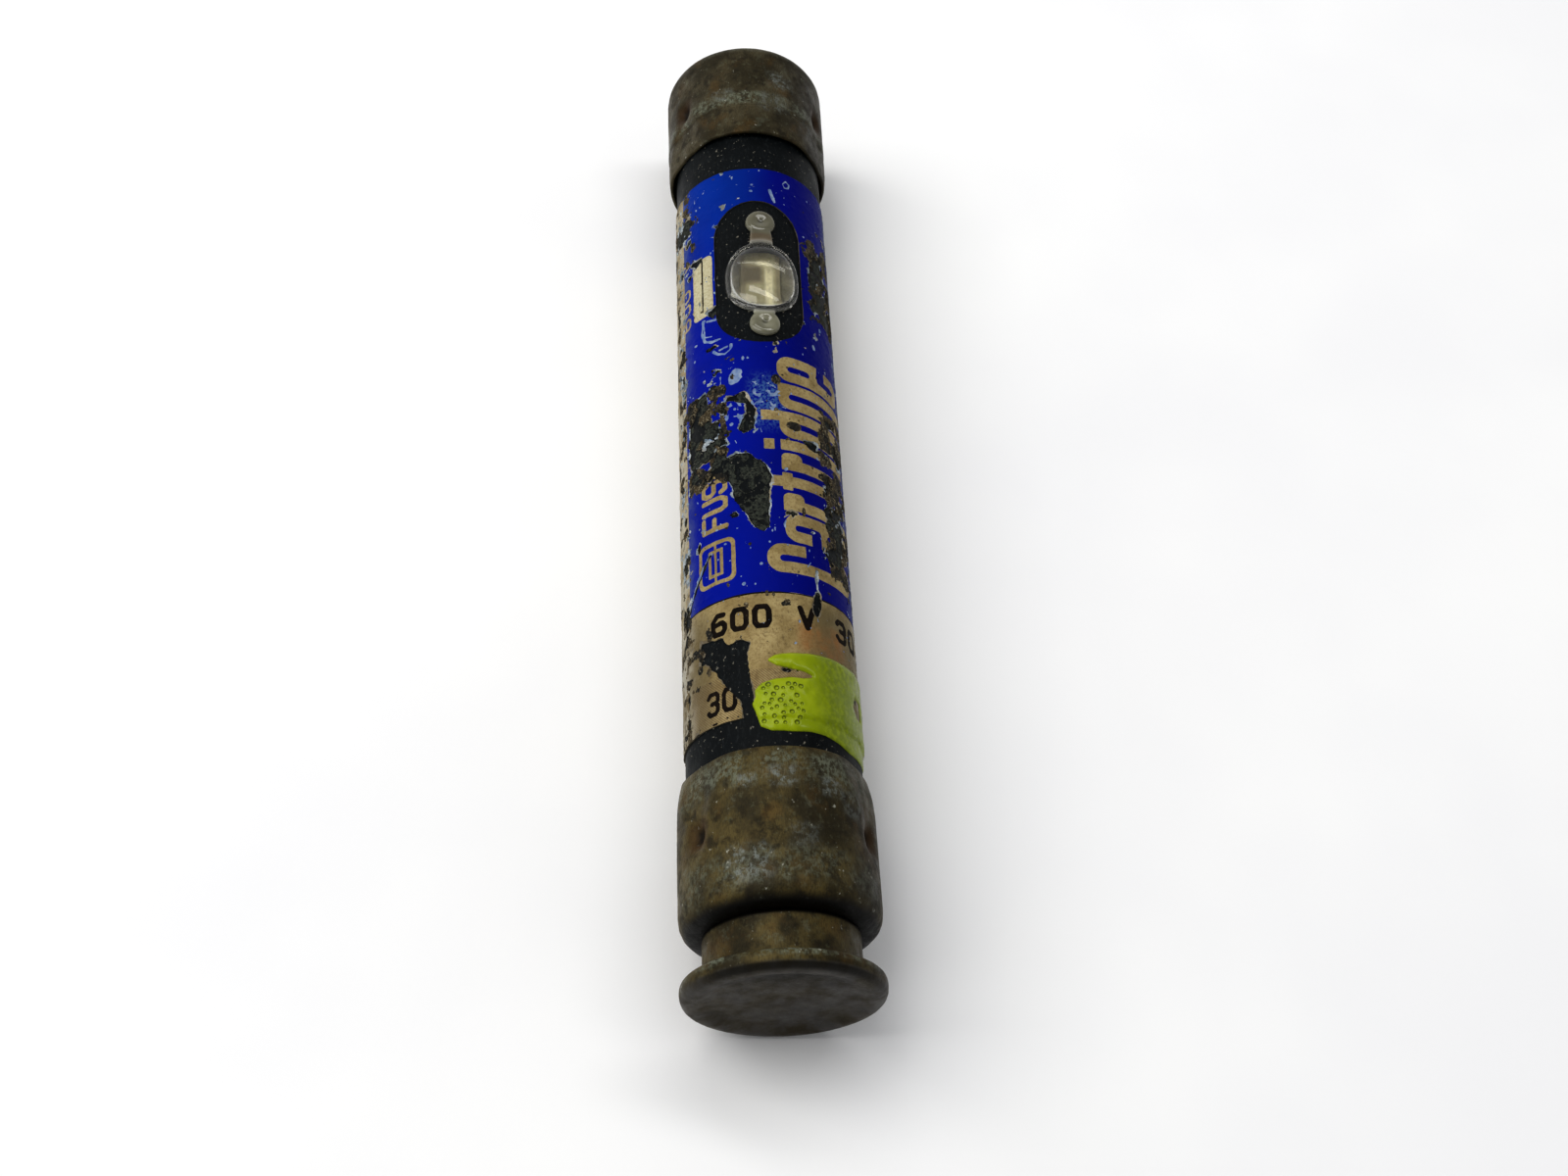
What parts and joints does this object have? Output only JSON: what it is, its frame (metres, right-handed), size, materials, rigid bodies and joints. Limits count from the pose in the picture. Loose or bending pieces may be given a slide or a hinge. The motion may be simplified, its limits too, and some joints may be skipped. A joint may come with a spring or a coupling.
{
  "type": "cartridge fuse",
  "caption": "Round rejection-type cartridge fuse with brass ferrules, a groove at one end, a printed paper label and a clear blown-fuse window.",
  "frame": {"origin": "on the fuse's axis at mid-length", "axes": "+X along the axis towards the grooved end, +Z out through the window"},
  "size_m": [0.127, 0.0206, 0.0206],
  "materials": {
    "black_fibre": "satin",
    "printed_paper": "satin",
    "tarnished_brass": "satin",
    "clear_window": "gloss",
    "cream_paper": "matte",
    "natural_fibre": "matte",
    "igniter_felt": "matte",
    "resistance_wire": "satin",
    "resistance_strip": "satin",
    "copper": "satin",
    "solder": "satin",
    "fusible_metal": "satin",
    "quartz_sand": "matte",
    "clean_brass": "satin",
    "spring_steel": "satin"
  },
  "bodies": {
    "fuse": {"body_tube": "black_fibre", "paper_label": "printed_paper", "plain_end_cap": "tarnished_brass", "rejection_cap": "tarnished_brass", "rejection_knob": "tarnished_brass", "indicator_lens": "clear_window", "indicator_strip": "cream_paper", "indicator_carrier": "natural_fibre", "igniter_pad": "igniter_felt", "igniter_wire": "resistance_wire", "plain_contact_disc": "copper", "rejection_contact_disc": "copper", "plain_end_solder": "solder", "rejection_end_solder": "solder", "plain_side_link": "copper", "rejection_side_link": "copper", "plain_side_sand": "quartz_sand", "rejection_side_sand": "quartz_sand", "plain_side_barrier": "natural_fibre", "rejection_side_barrier": "natural_fibre", "arc_liner": "natural_fibre", "trip_barrel": "clean_brass", "barrel_end_plug": "clean_brass", "barrel_guide_bush": "clean_brass", "trip_spring": "spring_steel", "heat_absorber": "copper", "fusible_alloy": "fusible_metal", "heater_strip": "resistance_strip"},
    "trigger": {"trip_plunger": "clean_brass"}
  },
  "joints": [
    {"name": "trigger_slide", "type": "slide", "parent": "fuse", "child": "trigger", "axis": [-1, 0, 0], "range_m": [0, 0.006], "deforming": ["trip_spring"]}
  ]
}
